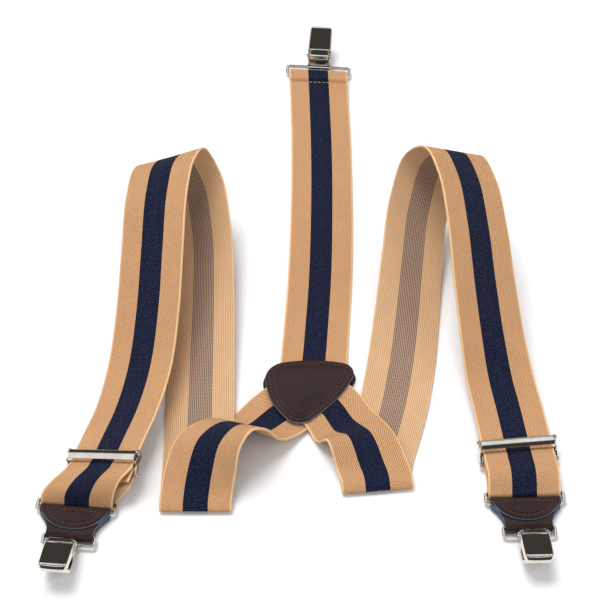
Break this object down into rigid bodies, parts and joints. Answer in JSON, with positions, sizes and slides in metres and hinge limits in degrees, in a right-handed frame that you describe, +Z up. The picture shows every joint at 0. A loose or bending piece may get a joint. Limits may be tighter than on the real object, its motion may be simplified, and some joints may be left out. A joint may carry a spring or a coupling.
{
  "type": "clip-on suspenders",
  "caption": "Elastic Y-back suspenders with a centre stripe, leather patch and tabs, slide adjusters and lever clips, laid out with arched straps.",
  "frame": {"origin": "centre of the object's footprint, on the table it lies on", "axes": "+Z up; +Y towards the back strap's clip, -Y towards the two front clips, +X to the wearer's right as laid out"},
  "size_m": [0.2552, 0.4124, 0.0633],
  "materials": {
    "webbing": "twill-faced elastic webbing, tan with a navy centre stripe",
    "leather": "smooth dark-brown leather with raw blue-grey cut edges",
    "nickel": "polished nickel plate on pressed steel and wire",
    "grip": "moulded translucent-white grip insert"
  },
  "bodies": {
    "webbing": {"back_strap": "webbing", "left_strap": "webbing", "right_strap": "webbing", "patch_front": "leather", "patch_back": "leather"},
    "back_ring": {"back_ring": "nickel"},
    "back_clip": {"back_clip_base": "nickel", "back_clip_pin": "nickel"},
    "back_lever": {"back_clip_lever": "nickel"},
    "back_jaw": {"back_clip_jaw": "nickel", "back_clip_pad": "grip"},
    "left_strap_ring": {"left_strap_ring": "nickel"},
    "left_tab": {"left_tab_leather": "leather"},
    "left_clip_ring": {"left_clip_ring": "nickel"},
    "left_clip": {"left_clip_base": "nickel", "left_clip_pin": "nickel"},
    "left_lever": {"left_clip_lever": "nickel"},
    "left_jaw": {"left_clip_jaw": "nickel", "left_clip_pad": "grip"},
    "left_adjuster": {"left_adjuster_frame": "nickel", "left_adjuster_pin": "nickel", "left_tail_bar": "nickel", "left_tail_hem": "webbing"},
    "left_adjuster_lever": {"left_adjuster_lever": "nickel"},
    "right_strap_ring": {"right_strap_ring": "nickel"},
    "right_tab": {"right_tab_leather": "leather"},
    "right_clip_ring": {"right_clip_ring": "nickel"},
    "right_clip": {"right_clip_base": "nickel", "right_clip_pin": "nickel"},
    "right_lever": {"right_clip_lever": "nickel"},
    "right_jaw": {"right_clip_jaw": "nickel", "right_clip_pad": "grip"},
    "right_adjuster": {"right_adjuster_frame": "nickel", "right_adjuster_pin": "nickel", "right_tail_bar": "nickel", "right_tail_hem": "webbing"},
    "right_adjuster_lever": {"right_adjuster_lever": "nickel"}
  },
  "joints": [
    {"name": "back_ring_swing", "type": "hinge", "parent": "webbing", "child": "back_ring", "pos_m": [0.0099, 0.1763, 0.003], "axis": [0.9969, -0.0785, 0], "range_deg": [-45, 40]},
    {"name": "back_clip_swing", "type": "hinge", "parent": "back_ring", "child": "back_clip", "pos_m": [0.01042, 0.18288, 0.003], "axis": [0.9969, -0.0785, 0], "range_deg": [-16, 30]},
    {"name": "back_lever_flip", "type": "hinge", "parent": "back_clip", "child": "back_lever", "pos_m": [0.01069, 0.1863, 0.00918], "axis": [0.9969, -0.0785, 0], "range_deg": [0, 100]},
    {"name": "back_jaw_open", "type": "hinge", "parent": "back_clip", "child": "back_jaw", "pos_m": [0.01084, 0.18822, 0.0061], "axis": [0.9969, -0.0785, 0], "range_deg": [0, 12]},
    {"name": "left_strap_ring_swing", "type": "hinge", "parent": "webbing", "child": "left_strap_ring", "pos_m": [-0.108, -0.1547, 0.003], "axis": [-0.9954, 0.0958, 0], "range_deg": [-45, 12]},
    {"name": "left_tab_swing", "type": "hinge", "parent": "left_strap_ring", "child": "left_tab", "pos_m": [-0.10856, -0.16047, 0.003], "axis": [-0.9954, 0.0958, 0], "range_deg": [-45, 25]},
    {"name": "left_clip_ring_swing", "type": "hinge", "parent": "left_tab", "child": "left_clip_ring", "pos_m": [-0.10999, -0.1754, 0.003], "axis": [-0.9954, 0.0958, 0], "range_deg": [-45, 25]},
    {"name": "left_clip_swing", "type": "hinge", "parent": "left_clip_ring", "child": "left_clip", "pos_m": [-0.11248, -0.18039, 0.003], "axis": [-0.9954, 0.0958, 0], "range_deg": [-16, 18]},
    {"name": "left_lever_flip", "type": "hinge", "parent": "left_clip", "child": "left_lever", "pos_m": [-0.11281, -0.1838, 0.00918], "axis": [-0.9954, 0.0958, 0], "range_deg": [0, 100]},
    {"name": "left_jaw_open", "type": "hinge", "parent": "left_clip", "child": "left_jaw", "pos_m": [-0.113, -0.18572, 0.0061], "axis": [-0.9954, 0.0958, 0], "range_deg": [0, 12]},
    {"name": "left_adjuster_slide", "type": "slide", "parent": "webbing", "child": "left_adjuster", "axis": [0.2756, 0.9613, 0], "range_m": [0, 0.018]},
    {"name": "left_adjuster_lever_flip", "type": "hinge", "parent": "left_adjuster", "child": "left_adjuster_lever", "pos_m": [-0.09619, -0.13263, 0.01391], "axis": [-0.924, 0.265, -0.2756], "range_deg": [0, 80]},
    {"name": "right_strap_ring_swing", "type": "hinge", "parent": "webbing", "child": "right_strap_ring", "pos_m": [0.1072, -0.1492, 0.003], "axis": [-0.9997, -0.0262, 0], "range_deg": [-45, 35]},
    {"name": "right_tab_swing", "type": "hinge", "parent": "right_strap_ring", "child": "right_tab", "pos_m": [0.10735, -0.155, 0.003], "axis": [-0.9997, -0.0262, 0], "range_deg": [-45, 25]},
    {"name": "right_clip_ring_swing", "type": "hinge", "parent": "right_tab", "child": "right_clip_ring", "pos_m": [0.10774, -0.16999, 0.003], "axis": [-0.9997, -0.0262, 0], "range_deg": [-45, 25]},
    {"name": "right_clip_swing", "type": "hinge", "parent": "right_clip_ring", "child": "right_clip", "pos_m": [0.10878, -0.17517, 0.003], "axis": [-0.9997, -0.0262, 0], "range_deg": [-16, 18]},
    {"name": "right_lever_flip", "type": "hinge", "parent": "right_clip", "child": "right_lever", "pos_m": [0.10887, -0.17859, 0.00918], "axis": [-0.9997, -0.0262, 0], "range_deg": [0, 100]},
    {"name": "right_jaw_open", "type": "hinge", "parent": "right_clip", "child": "right_jaw", "pos_m": [0.10892, -0.18052, 0.0061], "axis": [-0.9997, -0.0262, 0], "range_deg": [0, 12]},
    {"name": "right_adjuster_slide", "type": "slide", "parent": "webbing", "child": "right_adjuster", "axis": [-0.1045, 0.9945, 0], "range_m": [0, 0.018]},
    {"name": "right_adjuster_lever_flip", "type": "hinge", "parent": "right_adjuster", "child": "right_adjuster_lever", "pos_m": [0.10553, -0.12121, 0.0096], "axis": [-0.9945, -0.1045, 0], "range_deg": [0, 80]}
  ],
  "couplings": [
    {"joint": "back_jaw_open", "follows": "back_lever_flip", "ratio": 0.12},
    {"joint": "left_jaw_open", "follows": "left_lever_flip", "ratio": 0.12},
    {"joint": "right_jaw_open", "follows": "right_lever_flip", "ratio": 0.12}
  ]
}
